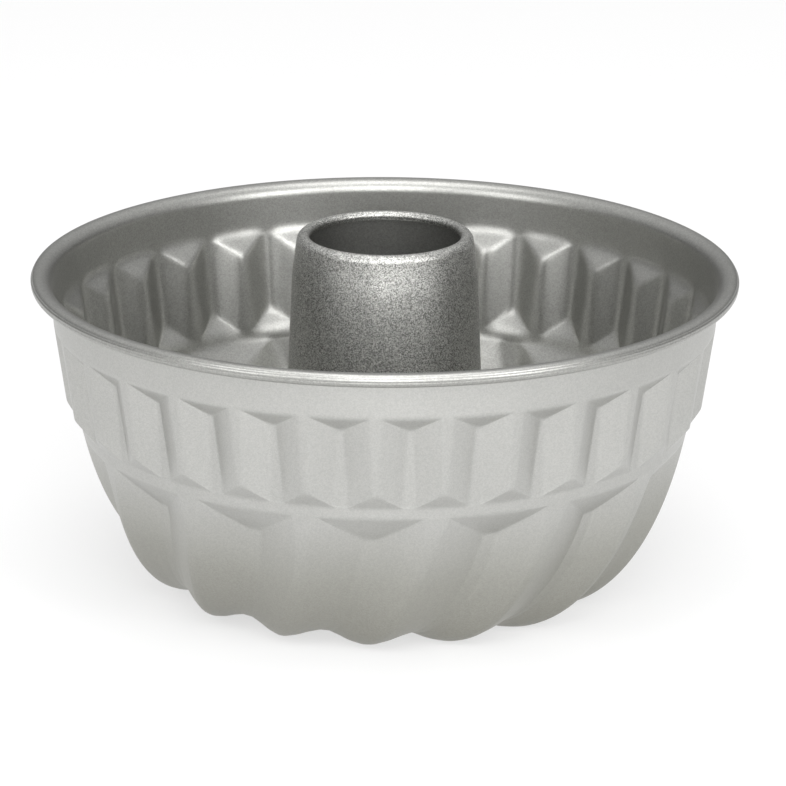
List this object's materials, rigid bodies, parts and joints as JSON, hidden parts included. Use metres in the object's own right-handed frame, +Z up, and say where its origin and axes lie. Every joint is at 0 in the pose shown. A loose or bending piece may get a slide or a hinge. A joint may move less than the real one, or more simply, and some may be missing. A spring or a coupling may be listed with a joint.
{
  "type": "fluted tube pan",
  "caption": "Deep round baking mould with upright ribs above leaning flutes, a rolled rim and an open centre tube that stands above it.",
  "frame": {"origin": "Centre of the pan, on the surface that it stands on", "axes": "+Z up along the centre tube; -Y is the side that faces the camera in the picture"},
  "size_m": [0.25, 0.25, 0.1282],
  "materials": {
    "coated_sheet": "satin metallic non-stick coating",
    "steel_wire": "drawn",
    "coated_tube": "flecked metallic non-stick coating"
  },
  "bodies": {
    "root": {"fluted_bowl": "coated_sheet", "rim_wire": "steel_wire", "centre_tube": "coated_tube"}
  },
  "joints": []
}
